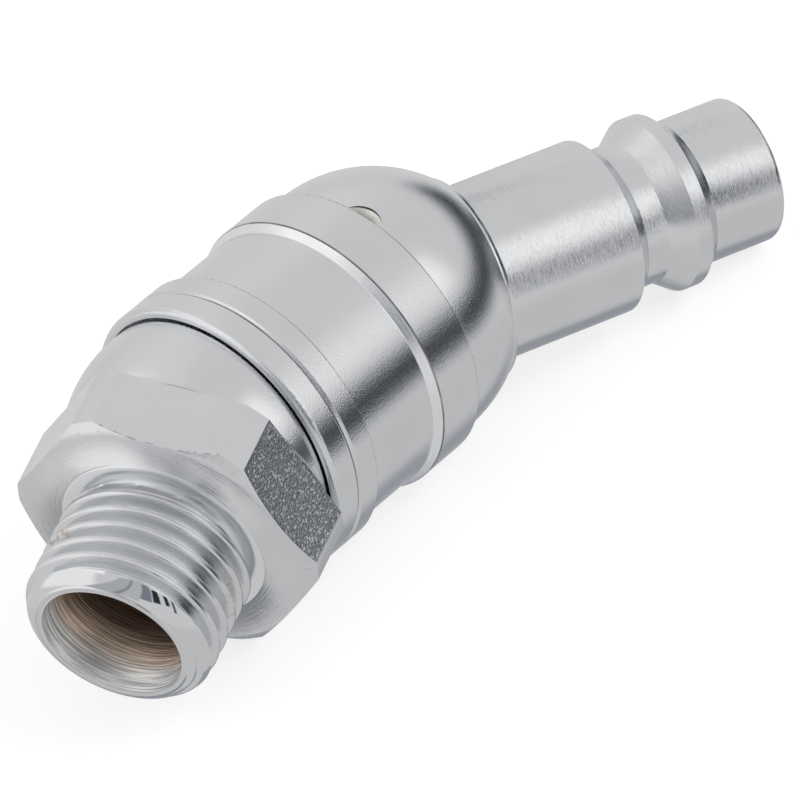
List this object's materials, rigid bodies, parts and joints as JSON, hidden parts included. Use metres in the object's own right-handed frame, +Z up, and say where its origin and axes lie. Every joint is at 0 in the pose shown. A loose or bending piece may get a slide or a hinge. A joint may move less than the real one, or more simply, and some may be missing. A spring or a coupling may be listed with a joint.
{
  "type": "swivel coupling plug",
  "caption": "Air-line coupling plug with a male thread and hexagon at one end and a domed, grooved plug at the other, bent and turning on a slanted ball bearing.",
  "frame": {"origin": "on the floor, under the middle of the object's box as it lies", "axes": "+Z up, +X level and along the sleeve from the threaded end towards the plug, +Y away from the inside of the bend"},
  "size_m": [0.0636, 0.024, 0.0215],
  "materials": {
    "base_steel": "satin plated, flats milled",
    "sleeve_steel": "satin plated, turned",
    "dome_steel": "satin plated, turned",
    "plug_steel": "plated, brushed round",
    "spigot_steel": "hardened and ground",
    "ball_steel": "polished bearing steel",
    "washer_plastic": "plain bearing plastic",
    "ring_plastic": "white bearing plastic",
    "seal_rubber": "greased nitrile"
  },
  "bodies": {
    "base": {"base_nipple": "base_steel", "spigot": "spigot_steel", "thrust_washer": "washer_plastic", "guide_ring": "ring_plastic", "dust_oring": "seal_rubber", "pressure_oring": "seal_rubber"},
    "ball_train": {"ball_01": "ball_steel", "ball_02": "ball_steel", "ball_03": "ball_steel", "ball_04": "ball_steel", "ball_05": "ball_steel", "ball_06": "ball_steel", "ball_07": "ball_steel", "ball_08": "ball_steel", "ball_09": "ball_steel", "ball_10": "ball_steel", "ball_11": "ball_steel", "ball_12": "ball_steel", "ball_13": "ball_steel", "ball_14": "ball_steel", "ball_15": "ball_steel", "ball_16": "ball_steel", "ball_17": "ball_steel", "ball_18": "ball_steel", "ball_19": "ball_steel", "ball_20": "ball_steel"},
    "head": {"swivel_dome": "dome_steel", "cover_sleeve": "sleeve_steel", "plug_nipple": "plug_steel"}
  },
  "joints": [
    {"name": "swivel", "type": "hinge", "parent": "base", "child": "head", "pos_m": [0.00057, 0.00167, 0.01035], "axis": [0.9981, 0, -0.0612], "continuous": true},
    {"name": "ball_orbit", "type": "hinge", "parent": "base", "child": "ball_train", "pos_m": [0.00057, 0.00167, 0.01035], "axis": [0.9981, 0, -0.0612], "continuous": true}
  ],
  "couplings": [
    {"joint": "ball_orbit", "follows": "swivel", "ratio": 0.57353}
  ]
}
